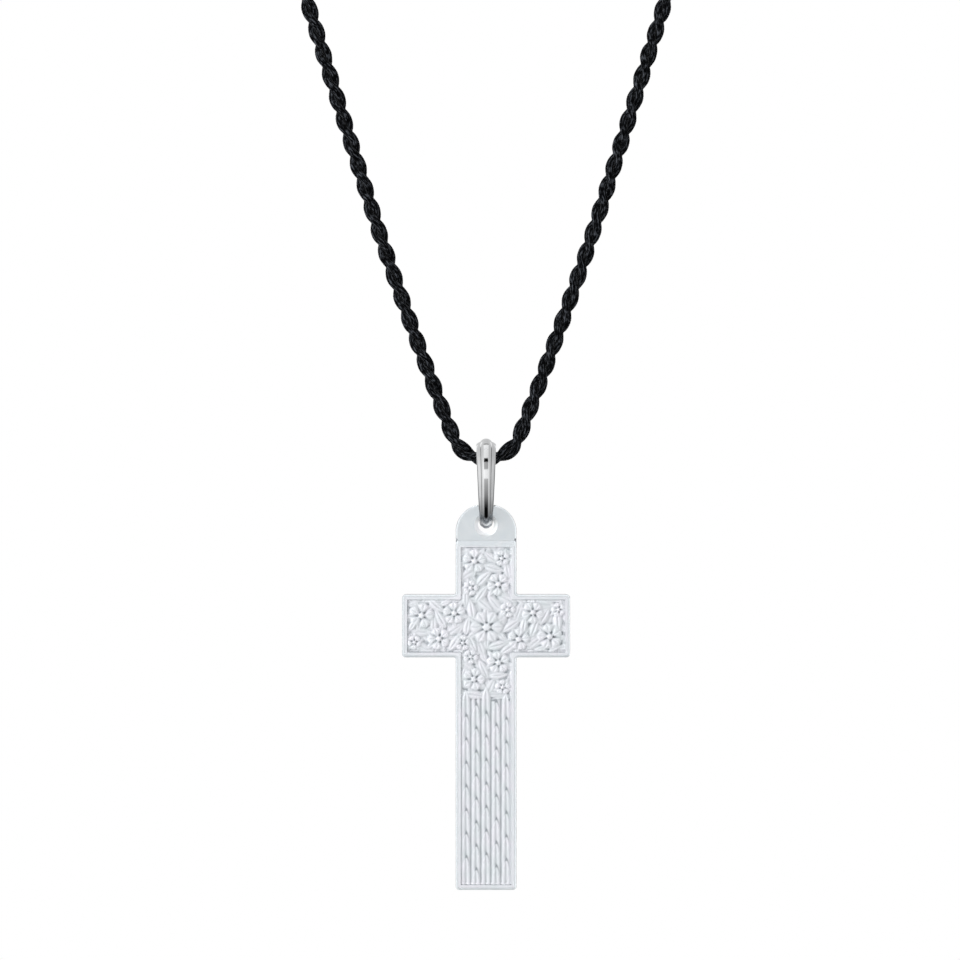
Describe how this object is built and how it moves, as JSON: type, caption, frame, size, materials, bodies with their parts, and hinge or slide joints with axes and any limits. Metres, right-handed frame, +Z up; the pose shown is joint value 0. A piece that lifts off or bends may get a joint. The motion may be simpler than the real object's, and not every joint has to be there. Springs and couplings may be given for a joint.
{
  "type": "cross pendant on a cord necklace",
  "caption": "Slender cast crystal cross with raised flowers and reeds, a polished drilled tab and a ribbed oval silver bail, hanging from a loop of twisted black silk cord.",
  "frame": {"origin": "underside of the clasp at the middle of the nape, where a neck or a peg carries the loop; the pendant hangs below it", "axes": "+X to the wearer's left, which is the right of the front view; -Y is the front, which the relief faces; +Z is up"},
  "size_m": [0.0932, 0.0104, 0.2437],
  "materials": {
    "silk": "two twisted strands of black silk with a soft sheen",
    "silver": "polished silver",
    "crystal": "cast crystal, polished on the tab and border, satin on the relief"
  },
  "bodies": {
    "cord_loop": {"neck_cord": "silk", "clasp": "silver"},
    "bail_ring": {"bail": "silver"},
    "cross_drop": {"cross": "crystal"}
  },
  "joints": [
    {"name": "bail_swing", "type": "hinge", "parent": "cord_loop", "child": "bail_ring", "pos_m": [0, 0, -0.1798], "axis": [1, 0, 0], "range_deg": [-90, 90]},
    {"name": "cross_swing", "type": "hinge", "parent": "bail_ring", "child": "cross_drop", "pos_m": [0, 0, -0.1889], "axis": [0, 1, 0], "range_deg": [-75, 75]}
  ]
}
